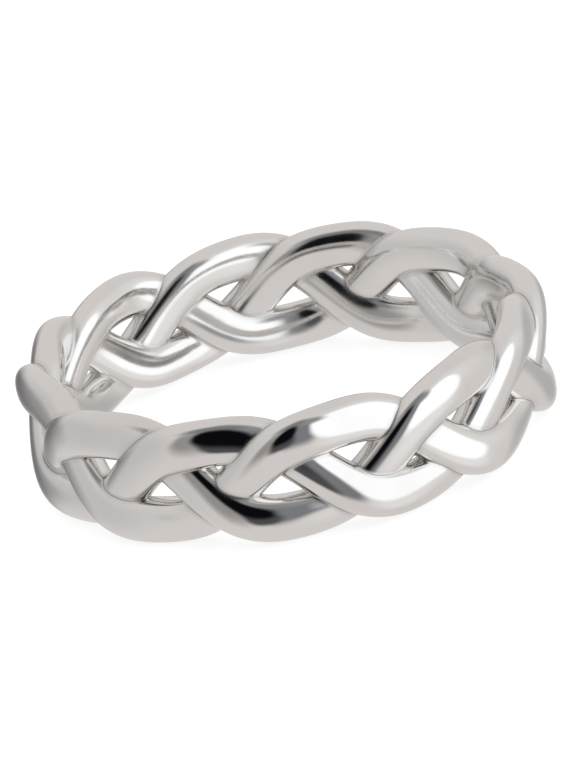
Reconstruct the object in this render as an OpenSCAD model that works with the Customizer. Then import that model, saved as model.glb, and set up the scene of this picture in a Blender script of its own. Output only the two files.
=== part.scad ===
// Twisted wedding band: three strands plaited round the finger and cast as one solid.
// The ring lies on its side. Z runs up along the finger hole, and the lobes of the lower
// edge touch z = 0.

/* [Ring] */
// Diameter of the finger hole, between the inner faces of the strands
finger_hole_d = 17.3; // [15:0.1:21]
// Width of the band from edge to edge
band_w = 5.15; // [4.5:0.05:6]

/* [Strand] */
// Width of one strand across its face
strand_w = 1.84; // [1.5:0.01:2.2]
// Thickness of one strand through the band
strand_t = 1.39; // [1:0.01:1.8]
// Fullness of a strand's section: 2 is an ellipse and 4 is nearly a rectangle
fullness = 2.35; // [2:0.05:4]

/* [Plait] */
// Waves that one strand makes on its way round, each with a lobe on either edge
waves = 4; // [3:1:5]
// How far a strand rises above and dips below the middle of the band where strands cross
weave_rise = 0.24; // [0.2:0.02:0.5]
// Flattening of the lobes' crowns, as a share of the strand's swing
crown_flat = 0.082; // [0:0.001:0.1]
// Where each of the three strands is in its wave at the ring's +X side, in degrees. Even
// spacing is 120 apart, and the band's lobes are a little uneven
strand_phases = [167, 279, 57]; // [0:1:360]

/* [Roll] */
// How far the lobes' faces lean towards the edges of the band, in degrees
lobe_roll = 8.5; // [0:0.5:12]
// How far a strand leans over as it passes the middle of the band, in degrees
crossing_roll = 15; // [0:0.5:20]

/* [Facets] */
// Sections along one strand, all the way round the ring
sections = 96; // [72:12:96]
// Sides of a strand's section
section_sides = 16; // [8:4:16]

/* [Hidden] */
silver = [0.85, 0.84, 0.82];
// Circle that the middles of the strands follow. A strand dips deepest at 135 degrees of its
// wave and rises highest at 45
mean_r = finger_hole_d / 2 + weave_rise + rolled_half(strand_t, strand_w, roll_at(135));
outer_d = 2 * (mean_r + weave_rise + rolled_half(strand_t, strand_w, roll_at(45)));
// Swing of a strand's middle to either side, so that its flattened crown meets the edge
swing = (band_w / 2 - rolled_half(strand_w, strand_t, roll_at(90))) / (1 - crown_flat);
// Half of the step over which a strand's direction is measured, in degrees round the ring
look_ahead = 0.01;

// Where a strand is in its wave, in degrees, at an angle round the ring
function wave_at(turn, phase) = waves * turn + phase;

// Distance of the strand's middle from the ring's axis: two rises and two dips to a wave
function reach(wave) = mean_r + weave_rise * sin(2 * wave);

// Height of the strand's middle above the middle of the band
function height(wave) = swing * (sin(wave) + crown_flat * sin(3 * wave));

// How far a section is rolled over at a point of its wave, in degrees
function roll_at(wave) = crossing_roll * cos(wave) - lobe_roll * sin(wave);

// Half of a rolled section's size along a line. Its sizes along and across that line are
// those without the roll
function rolled_half(along, across, roll) =
    let (power = fullness / (fullness - 1))
    pow(pow(along / 2 * abs(cos(roll)), power) + pow(across / 2 * abs(sin(roll)), power), 1 / power);

function middle(turn, phase) =
    let (wave = wave_at(turn, phase))
    [reach(wave) * cos(turn), reach(wave) * sin(turn), height(wave)];

function unit(v) = v / norm(v);

function direction(turn, phase) =
    unit(middle(turn + look_ahead, phase) - middle(turn - look_ahead, phase));

// A power that keeps its base's sign
function signed_pow(base, power) = sign(base) * pow(abs(base), power);

// Point of the section's outline: across the face first, then through the thickness
function outline_at(corner) =
    [strand_w / 2 * signed_pow(cos(corner), 2 / fullness),
     strand_t / 2 * signed_pow(sin(corner), 2 / fullness)];

// One section of a strand, square to its direction: level through its thickness, then rolled
function section_at(turn, phase) =
    let (along = direction(turn, phase),
         level = unit([along.y, -along.x, 0]),
         upright = cross(along, level),
         roll = roll_at(wave_at(turn, phase)),
         across = cos(roll) * upright - sin(roll) * level,
         outward = cos(roll) * level + sin(roll) * upright,
         centre = middle(turn, phase))
    [for (side = [0 : section_sides - 1])
        let (p = outline_at(360 * side / section_sides))
        centre + p.x * across + p.y * outward];

// Number of a point on a strand, counted round and round
function point_id(section, side) =
    (section % sections) * section_sides + side % section_sides;

// A closed strand swept round the ring
module strand(phase) {
    points = [for (section = [0 : sections - 1])
        each section_at(360 * section / sections, phase)];
    faces = [for (section = [0 : sections - 1], side = [0 : section_sides - 1])
        each [
            [point_id(section, side), point_id(section, side + 1), point_id(section + 1, side)],
            [point_id(section + 1, side), point_id(section, side + 1), point_id(section + 1, side + 1)]
        ]];
    polyhedron(points = points, faces = faces);
}

// The whole plait, brought to its outside size, with its lower lobes on z = 0
module band() {
    color(silver)
    translate([0, 0, band_w / 2])
    resize([outer_d, outer_d, band_w])
    union() {
        for (phase = strand_phases) strand(phase);
    }
}

band();
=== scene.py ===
# Plaited wedding band of polished silver, lying on its side on a pale table.
# Lengths are in metres and angles in degrees, where nothing else is said.
import bpy
import math
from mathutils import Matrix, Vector
from mathutils.bvhtree import BVHTree


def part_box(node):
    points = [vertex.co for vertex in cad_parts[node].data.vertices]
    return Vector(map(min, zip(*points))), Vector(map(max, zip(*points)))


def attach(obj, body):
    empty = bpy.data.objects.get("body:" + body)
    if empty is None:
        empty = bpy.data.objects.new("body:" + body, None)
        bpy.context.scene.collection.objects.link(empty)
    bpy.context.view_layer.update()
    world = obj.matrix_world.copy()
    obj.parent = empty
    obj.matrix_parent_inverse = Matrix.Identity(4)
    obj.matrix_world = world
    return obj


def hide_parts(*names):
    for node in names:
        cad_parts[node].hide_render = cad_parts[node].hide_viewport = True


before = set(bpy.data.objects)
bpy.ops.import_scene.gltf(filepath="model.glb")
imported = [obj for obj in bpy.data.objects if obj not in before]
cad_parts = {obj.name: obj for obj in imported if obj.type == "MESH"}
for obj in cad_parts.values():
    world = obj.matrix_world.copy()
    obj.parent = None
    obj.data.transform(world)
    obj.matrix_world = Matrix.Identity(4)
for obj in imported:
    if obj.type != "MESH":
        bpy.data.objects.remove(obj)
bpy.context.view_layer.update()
bandLow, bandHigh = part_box("band")
bpy.ops.object.select_all(action="DESELECT")
print("frame loaded, band box in mm", [round(side * 1000, 3) for side in bandHigh - bandLow])


# Camera: long lens, a little above the table and rolled, as the photograph shows the ring
view = {
    "aim": Vector((0, 0, (bandLow.z + bandHigh.z) / 2)),  # middle of the ring
    "distance": 0.2254,
    "elevation": 22.16,
    "roll": 10.36,  # the ring's right end stands higher in the picture
    "lens": 267.9,  # mm, as the sensor
    "sensor": 36.0,
    "shiftX": 0.0021,
    "shiftY": -0.0075,
    "clip": (0.01, 10),
}


def addCamera():
    tilt = math.radians(view["elevation"])
    place = view["aim"] + view["distance"] * Vector((0, -math.cos(tilt), math.sin(tilt)))
    bpy.ops.object.camera_add(location=place)
    camera = bpy.context.object
    camera.name = "camera"
    camera.rotation_euler = (view["aim"] - place).to_track_quat("-Z", "Y").to_euler()
    camera.rotation_euler.rotate_axis("Z", -math.radians(view["roll"]))
    camera.data.lens = view["lens"]
    camera.data.sensor_width = view["sensor"]
    camera.data.shift_x = view["shiftX"]
    camera.data.shift_y = view["shiftY"]
    camera.data.clip_start, camera.data.clip_end = view["clip"]
    bpy.context.scene.camera = camera


addCamera()
print("camera placed")


# Plait: three closed strands, each an oval swept along a wave that also weaves in and out
plait = {
    "strandWidth": 0.00184,
    "strandThickness": 0.00139,
    "fullness": 2.35,  # 2 is an ellipse, more is squarer
    "waves": 4,
    "weaveRise": 0.00024,  # how far a strand rises and dips where strands cross
    "crownFlat": 0.082,  # flattening of the lobes' crowns
    "phases": (167, 279, 57),  # where each strand is in its wave at +X
    "lobeRoll": 8.5,  # how far the lobes' faces lean towards the band's edges
    "crossingRoll": 15,  # how far a strand leans over as it passes the band's middle
    "sections": 360,  # along a strand
    "sides": 36,  # round a strand
    "sliver": 1e-7,  # points nearer than this are one
    "smoothAngle": 24,  # the seams stay sharp, and all else is smooth
}


def rollAt(wave):
    return math.radians(plait["crossingRoll"] * math.cos(wave) - plait["lobeRoll"] * math.sin(wave))


def rolledHalf(along, across, wave):
    # half of the rolled oval's size along a line, where it is along by across without the roll
    power = plait["fullness"] / (plait["fullness"] - 1)
    roll = rollAt(wave)
    sides = (along / 2 * abs(math.cos(roll))) ** power + (across / 2 * abs(math.sin(roll))) ** power
    return sides ** (1 / power)


# a strand rises highest at an eighth of its wave and reaches the band's edge at a quarter
highest = rolledHalf(plait["strandThickness"], plait["strandWidth"], math.pi / 4)
plait["meanRadius"] = bandHigh.x - plait["weaveRise"] - highest
edge = rolledHalf(plait["strandWidth"], plait["strandThickness"], math.pi / 2)
plait["swing"] = ((bandHigh.z - bandLow.z) / 2 - edge) / (1 - plait["crownFlat"])


def addRoundPath(name, count):
    bpy.ops.curve.primitive_bezier_circle_add(radius=plait["meanRadius"])
    path = bpy.context.object
    path.name = name
    bpy.ops.object.mode_set(mode="EDIT")
    bpy.ops.curve.select_all(action="SELECT")
    bpy.ops.curve.subdivide(number_cuts=count // 4 - 1)  # the circle starts with four points
    bpy.ops.curve.spline_type_set(type="POLY")
    bpy.ops.object.mode_set(mode="OBJECT")
    return path


def signedPower(base, power):
    return math.copysign(abs(base) ** power, base)


def addProfile():
    profile = addRoundPath("strandProfile", plait["sides"])
    corners = profile.data.splines[0].points
    for number, corner in enumerate(corners):
        angle = 2 * math.pi * number / len(corners)
        outward = plait["strandThickness"] / 2 * signedPower(math.cos(angle), 2 / plait["fullness"])
        across = plait["strandWidth"] / 2 * signedPower(math.sin(angle), 2 / plait["fullness"])
        corner.co = (outward, across, 0, 1)
    return profile


def addStrand(name, phase, profile):
    strand = addRoundPath(name, plait["sections"])
    points = strand.data.splines[0].points
    for number, point in enumerate(points):
        turn = 2 * math.pi * number / len(points)
        wave = plait["waves"] * turn + math.radians(phase)
        reach = plait["meanRadius"] + plait["weaveRise"] * math.sin(2 * wave)
        height = plait["swing"] * (math.sin(wave) + plait["crownFlat"] * math.sin(3 * wave))
        point.co = (reach * math.cos(turn), reach * math.sin(turn), view["aim"].z + height, 1)
        point.tilt = rollAt(wave)
    strand.data.dimensions = "3D"
    strand.data.twist_mode = "Z_UP"  # the oval's thickness is level before its roll
    strand.data.bevel_mode = "OBJECT"
    strand.data.bevel_object = profile
    bpy.ops.object.convert(target="MESH")
    bpy.ops.object.mode_set(mode="EDIT")
    bpy.ops.mesh.select_all(action="SELECT")
    bpy.ops.mesh.remove_doubles(threshold=plait["sliver"])
    bpy.ops.mesh.normals_make_consistent(inside=False)
    bpy.ops.object.mode_set(mode="OBJECT")
    return strand


def cleanSeams():
    # closes the joins: slivers go, and every face becomes triangles
    bpy.ops.object.mode_set(mode="EDIT")
    bpy.ops.mesh.select_all(action="SELECT")
    bpy.ops.mesh.remove_doubles(threshold=plait["sliver"])
    bpy.ops.mesh.quads_convert_to_tris(quad_method="BEAUTY", ngon_method="BEAUTY")
    bpy.ops.mesh.dissolve_degenerate(threshold=plait["sliver"])
    bpy.ops.mesh.quads_convert_to_tris(quad_method="BEAUTY", ngon_method="BEAUTY")
    bpy.ops.object.mode_set(mode="OBJECT")


def markCreases(band, strandTrees):
    # how far each point of the band is from the next strand, in millimetres: 0 along the creases
    creases = band.data.attributes.new("creaseDistance", "FLOAT", "POINT")
    for vertex, row in zip(band.data.vertices, creases.data):
        distances = sorted(tree.find_nearest(vertex.co)[3] for tree in strandTrees)
        row.value = distances[1] * 1000


def buildBand():
    profile = addProfile()
    strands = []
    for number, phase in enumerate(plait["phases"]):
        bpy.ops.object.select_all(action="DESELECT")
        strands.append(addStrand("strand" + str(number), phase, profile))
    depsgraph = bpy.context.evaluated_depsgraph_get()
    strandTrees = [BVHTree.FromObject(strand, depsgraph) for strand in strands]
    band = strands[0]
    bpy.ops.object.select_all(action="DESELECT")
    bpy.context.view_layer.objects.active = band
    band.select_set(True)
    for other in strands[1:]:
        bpy.ops.object.modifier_add(type="BOOLEAN")
        join = band.modifiers[-1]
        join.operation = "UNION"
        join.solver = "EXACT"
        join.object = other
        bpy.ops.object.modifier_apply(modifier=join.name)
    for spare in strands[1:] + [profile]:
        bpy.data.objects.remove(spare)
    cleanSeams()
    band.name = "plaitedBand"
    bpy.ops.object.shade_smooth_by_angle(angle=math.radians(plait["smoothAngle"]))
    markCreases(band, strandTrees)
    return band


band = buildBand()
print("band joined,", len(band.data.polygons), "faces")


def addMath(tree, operation, *values):
    # a Math node fed with numbers or sockets; gives its output socket
    node = tree.nodes.new("ShaderNodeMath")
    node.operation = operation
    for socket, value in zip(node.inputs, values):
        if isinstance(value, bpy.types.NodeSocket):
            tree.links.new(value, socket)
        else:
            socket.default_value = value
    return node.outputs[0]


def addRamp(tree, value, fromRange, toRange=(0, 1)):
    # a smooth step between two values, each a number or a socket
    node = tree.nodes.new("ShaderNodeMapRange")
    node.interpolation_type = "SMOOTHSTEP"
    tree.links.new(value, node.inputs["Value"])
    ends = zip(("From Min", "From Max", "To Min", "To Max"), (*fromRange, *toRange))
    for name, end in ends:
        if isinstance(end, bpy.types.NodeSocket):
            tree.links.new(end, node.inputs[name])
        else:
            node.inputs[name].default_value = end
    return node.outputs["Result"]


def addMix(tree, share, first, second):
    # a colour mix; first and second are colours or sockets
    node = tree.nodes.new("ShaderNodeMix")
    node.data_type = "RGBA"
    tree.links.new(share, node.inputs["Factor"])
    for socket, colour in ((node.inputs[6], first), (node.inputs[7], second)):  # colours A and B
        if isinstance(colour, bpy.types.NodeSocket):
            tree.links.new(colour, socket)
        else:
            socket.default_value = colour
    return node.outputs[2]  # the colour


# Polished silver: bright outside, a softer polish on the finger side, and painted shade as dark,
# rougher lines along the creases, fading out beside them.
# Each noise is its scale per metre and its detail
silver = {
    "colour": (0.85, 0.84, 0.82, 1),
    "clouded": (0.80, 0.785, 0.76, 1),  # faint tarnish, in soft clouds
    # painted shade: the dark colour of the lines along the creases between strands
    "creaseShadeColour": (0.42, 0.41, 0.40, 1),
    "hollowShadeColour": (0.74, 0.73, 0.71, 1),  # painted shade, deepening towards the creases
    "filletRadius": 0.0002,  # strands run into each other softly
    "filletSamples": 8,
    "creaseWidth": 0.04,  # mm
    "hollowWidth": 0.25,  # mm
    "fingerRadius": (0.0098, 0.0093),  # the softer polish fades in between these radii
    "fingerCreaseFade": 0.75,  # the creases' painted shade and roughness fade on the finger's side
    "roughness": (0.02, 0.05),
    "fingerRoughness": 0.1,
    "hollowRoughness": 0.13,
    "creaseRoughness": 0.3,
    "cloudNoise": (260, 3),
    "cloudRange": (0.4, 0.8),
    "smearNoise": (1400, 4),
    "smearRange": (0.3, 0.7),
    "waveNoise": (620, 1),  # waves left by the polishing
    "waveHeight": 1e-5,
    "scratchNoise": (9000, 2),
    "scratchTurn": (0.5, 0.3, 0.9),  # radians
    "scratchStretch": (0.06, 1, 1),
    "scratchHeight": 4e-7,
}


def makeSilver():
    material = bpy.data.materials.new("polishedSilver")
    material.use_nodes = True
    tree = material.node_tree
    shader = tree.nodes["Principled BSDF"]
    shader.inputs["Metallic"].default_value = 1
    coordinates = tree.nodes.new("ShaderNodeTexCoord").outputs["Object"]

    def addNoise(name, vector=coordinates):
        noise = tree.nodes.new("ShaderNodeTexNoise")
        noise.inputs["Scale"].default_value, noise.inputs["Detail"].default_value = silver[name]
        tree.links.new(vector, noise.inputs["Vector"])
        return noise.outputs["Fac"]

    # how far a point is from the ring's axis tells the finger's side from the outside
    flat = tree.nodes.new("ShaderNodeVectorMath")
    flat.operation = "MULTIPLY"
    flat.inputs[1].default_value = (1, 1, 0)
    tree.links.new(coordinates, flat.inputs[0])
    radius = tree.nodes.new("ShaderNodeVectorMath")
    radius.operation = "LENGTH"
    tree.links.new(flat.outputs[0], radius.inputs[0])
    fingerSide = addRamp(tree, radius.outputs["Value"], silver["fingerRadius"])

    distance = tree.nodes.new("ShaderNodeAttribute")
    distance.attribute_name = "creaseDistance"
    # painted shade: a thin dark line along each crease, weaker on the finger's side
    crease = addRamp(tree, distance.outputs["Fac"], (silver["creaseWidth"], 0))
    creaseKept = addMath(tree, "MULTIPLY_ADD", fingerSide, -silver["fingerCreaseFade"], 1)
    crease = addMath(tree, "MULTIPLY", crease, creaseKept)
    # painted shade: a wider, fainter darkening beside the creases, which is also rougher
    hollow = addRamp(tree, distance.outputs["Fac"], (silver["hollowWidth"], 0))

    clouds = addRamp(tree, addNoise("cloudNoise"), silver["cloudRange"])
    colour = addMix(tree, clouds, silver["colour"], silver["clouded"])
    # the painted shade is laid over the silver's own colour
    colour = addMix(tree, hollow, colour, silver["hollowShadeColour"])
    colour = addMix(tree, crease, colour, silver["creaseShadeColour"])
    tree.links.new(colour, shader.inputs["Base Color"])

    finish = addRamp(tree, addNoise("smearNoise"), silver["smearRange"], silver["roughness"])
    finish = addMath(tree, "MULTIPLY_ADD", fingerSide, silver["fingerRoughness"], finish)
    finish = addMath(tree, "MULTIPLY_ADD", hollow, silver["hollowRoughness"], finish)
    finish = addMath(tree, "MULTIPLY_ADD", crease, silver["creaseRoughness"], finish)
    tree.links.new(finish, shader.inputs["Roughness"])

    stretched = tree.nodes.new("ShaderNodeMapping")
    stretched.inputs["Rotation"].default_value = silver["scratchTurn"]
    stretched.inputs["Scale"].default_value = silver["scratchStretch"]
    tree.links.new(coordinates, stretched.inputs["Vector"])
    scratches = addNoise("scratchNoise", stretched.outputs["Vector"])
    fillet = tree.nodes.new("ShaderNodeBevel")
    fillet.samples = silver["filletSamples"]
    fillet.inputs["Radius"].default_value = silver["filletRadius"]
    normal = fillet.outputs["Normal"]
    reliefs = (
        (addNoise("waveNoise"), silver["waveHeight"]),
        (scratches, silver["scratchHeight"]),
    )
    for relief, depth in reliefs:
        bump = tree.nodes.new("ShaderNodeBump")
        bump.inputs["Distance"].default_value = depth
        tree.links.new(relief, bump.inputs["Height"])
        tree.links.new(normal, bump.inputs["Normal"])
        normal = bump.outputs["Normal"]
    tree.links.new(normal, shader.inputs["Normal"])
    return material


band.data.materials.clear()
band.data.materials.append(makeSilver())
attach(band, "root")
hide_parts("band")
print("silver on")


# Table: a white sheet lit from below, level with the lowest lobes
table = {
    "size": 3.0,
    "colour": (0.35, 0.35, 0.35, 1),
    "roughness": 0.6,
    "glow": 0.78,  # leaves only a faint shadow round the ring
    "glowColour": (1, 1, 1, 1),
}


def addTable():
    bpy.ops.object.select_all(action="DESELECT")
    bpy.ops.mesh.primitive_plane_add(size=table["size"], location=(0, 0, bandLow.z))
    top = bpy.context.object
    top.name = "tableTop"
    material = bpy.data.materials.new("paleTable")
    material.use_nodes = True
    shader = material.node_tree.nodes["Principled BSDF"]
    shader.inputs["Base Color"].default_value = table["colour"]
    shader.inputs["Roughness"].default_value = table["roughness"]
    shader.inputs["Specular IOR Level"].default_value = 0
    shader.inputs["Emission Color"].default_value = table["glowColour"]
    shader.inputs["Emission Strength"].default_value = table["glow"]
    top.data.materials.append(material)
    top.visible_glossy = False  # the silver reflects the studio alone


addTable()
print("table laid")


# Studio: a light grey room with soft patches of light and shade, each laid over those before it.
# Azimuth 0 is the camera's side and 90 is +X. "half" is how far a patch reaches either way from
# its middle, "soft" is the width of its faded edge as a share of that, and "round" is 2 for an
# oval and more for a squarer patch
studio = {
    "room": (0.72, 0.69, 0.68, 1),
    "patches": [
        {"name": "leftWall", "middle": (-100, 2), "half": (48, 38),
         "soft": 1.2, "round": 2.3, "light": (0.6, 0.592, 0.597, 1)},
        {"name": "leftShade", "middle": (-131, -9), "half": (19, 17),
         "soft": 1.3, "round": 2.3, "light": (0.36, 0.36, 0.365, 1)},
        {"name": "dimCeiling", "middle": (-15, 62), "half": (43, 20),
         "soft": 1, "round": 2.2, "light": (0.22, 0.22, 0.22, 1)},
        {"name": "flagEdge", "middle": (-34, 14), "half": (13, 34),
         "soft": 1, "round": 3, "light": (0.32, 0.31, 0.305, 1)},
        {"name": "coolFront", "middle": (7, 13), "half": (16, 38),
         "soft": 0.5, "round": 4, "light": (0.22, 0.225, 0.245, 1)},
        {"name": "flagFoot", "middle": (-10, -6), "half": (14, 17),
         "soft": 0.6, "round": 2.6, "light": (0.08, 0.08, 0.087, 1)},
        {"name": "flag", "middle": (-13, 24), "half": (15, 30),  # black card beside the camera
         "soft": 0.5, "round": 2.8, "light": (0.004, 0.004, 0.005, 1)},
        {"name": "softboxHalo", "middle": (74, 28), "half": (40, 38),
         "soft": 0.9, "round": 2.5, "light": (0.8, 0.8, 0.8, 1)},
        {"name": "softboxGlow", "middle": (56, -30), "half": (30, 22),
         "soft": 1.1, "round": 2.4, "light": (0.88, 0.87, 0.87, 1)},
        {"name": "softbox", "middle": (55, 14), "half": (36, 40),  # the main light
         "soft": 0.22, "round": 3, "light": (1.2, 1.215, 1.25, 1)},
        {"name": "softboxCorner", "middle": (24, 50), "half": (16, 14),
         "soft": 1.1, "round": 2.4, "light": (0.3, 0.3, 0.31, 1)},
        {"name": "farCorner", "middle": (-150, -10), "half": (18, 20),
         "soft": 1.4, "round": 2.5, "light": (0.2, 0.195, 0.2, 1)},
        {"name": "rightShade", "middle": (140, -12), "half": (18, 24),
         "soft": 1.1, "round": 2.5, "light": (0.5, 0.5, 0.5, 1)},
    ],
    "tableLamp": {"height": 0.5, "size": 1.6, "power": 4},
}


def makePatchGroup():
    # a rounded patch of sky: 1 inside, 0 outside, soft at its edge
    group = bpy.data.node_groups.new("studioPatch", "ShaderNodeTree")
    names = (
        "Azimuth", "Elevation", "Middle azimuth", "Middle elevation",
        "Half width", "Half height", "Roundness", "Softness",
    )
    for name in names:
        group.interface.new_socket(name, in_out="INPUT", socket_type="NodeSocketFloat")
    group.interface.new_socket("Mask", in_out="OUTPUT", socket_type="NodeSocketFloat")
    given = group.nodes.new("NodeGroupInput").outputs
    result = group.nodes.new("NodeGroupOutput")
    across = addMath(group, "SUBTRACT", given["Azimuth"], given["Middle azimuth"])
    across = addMath(group, "WRAP", across, 180, -180)
    above = addMath(group, "SUBTRACT", given["Elevation"], given["Middle elevation"])
    powers = []
    for offset, half in ((across, "Half width"), (above, "Half height")):
        share = addMath(group, "ABSOLUTE", addMath(group, "DIVIDE", offset, given[half]))
        powers.append(addMath(group, "POWER", share, given["Roundness"]))
    rootPower = addMath(group, "DIVIDE", 1, given["Roundness"])
    reach = addMath(group, "POWER", addMath(group, "ADD", *powers), rootPower)
    outer = addMath(group, "MULTIPLY_ADD", given["Softness"], 0.5, 1)  # half of it on either side
    inner = addMath(group, "MULTIPLY_ADD", given["Softness"], -0.5, 1)
    group.links.new(addRamp(group, reach, (outer, inner)), result.inputs["Mask"])
    return group


def addWorld():
    world = bpy.data.worlds.new("studio")
    bpy.context.scene.world = world
    world.use_nodes = True
    tree = world.node_tree
    axes = tree.nodes.new("ShaderNodeSeparateXYZ")
    ray = tree.nodes.new("ShaderNodeTexCoord").outputs["Generated"]
    tree.links.new(ray, axes.inputs["Vector"])
    frontward = addMath(tree, "MULTIPLY", axes.outputs["Y"], -1)
    turn = addMath(tree, "ARCTAN2", axes.outputs["X"], frontward)
    azimuth = addMath(tree, "DEGREES", turn)
    elevation = addMath(tree, "DEGREES", addMath(tree, "ARCSINE", axes.outputs["Z"]))
    group = makePatchGroup()
    colour = studio["room"]
    for patch in studio["patches"]:
        mask = tree.nodes.new("ShaderNodeGroup")
        mask.node_tree = group
        mask.label = patch["name"]
        tree.links.new(azimuth, mask.inputs["Azimuth"])
        tree.links.new(elevation, mask.inputs["Elevation"])
        mask.inputs["Middle azimuth"].default_value = patch["middle"][0]
        mask.inputs["Middle elevation"].default_value = patch["middle"][1]
        mask.inputs["Half width"].default_value = patch["half"][0]
        mask.inputs["Half height"].default_value = patch["half"][1]
        mask.inputs["Roundness"].default_value = patch["round"]
        mask.inputs["Softness"].default_value = patch["soft"]
        colour = addMix(tree, mask.outputs["Mask"], colour, patch["light"])
    tree.links.new(colour, tree.nodes["Background"].inputs["Color"])


def addTableLamp():
    lamp = studio["tableLamp"]
    bpy.ops.object.light_add(type="AREA", location=(0, 0, lamp["height"]))
    overhead = bpy.context.object
    overhead.name = "tableLamp"
    overhead.data.shape = "DISK"
    overhead.data.size = lamp["size"]
    overhead.data.energy = lamp["power"]
    overhead.visible_glossy = False  # it lights the table and leaves the silver alone
    overhead.visible_camera = False


addWorld()
addTableLamp()
bpy.context.scene.view_settings.view_transform = "Standard"
print("studio lit")
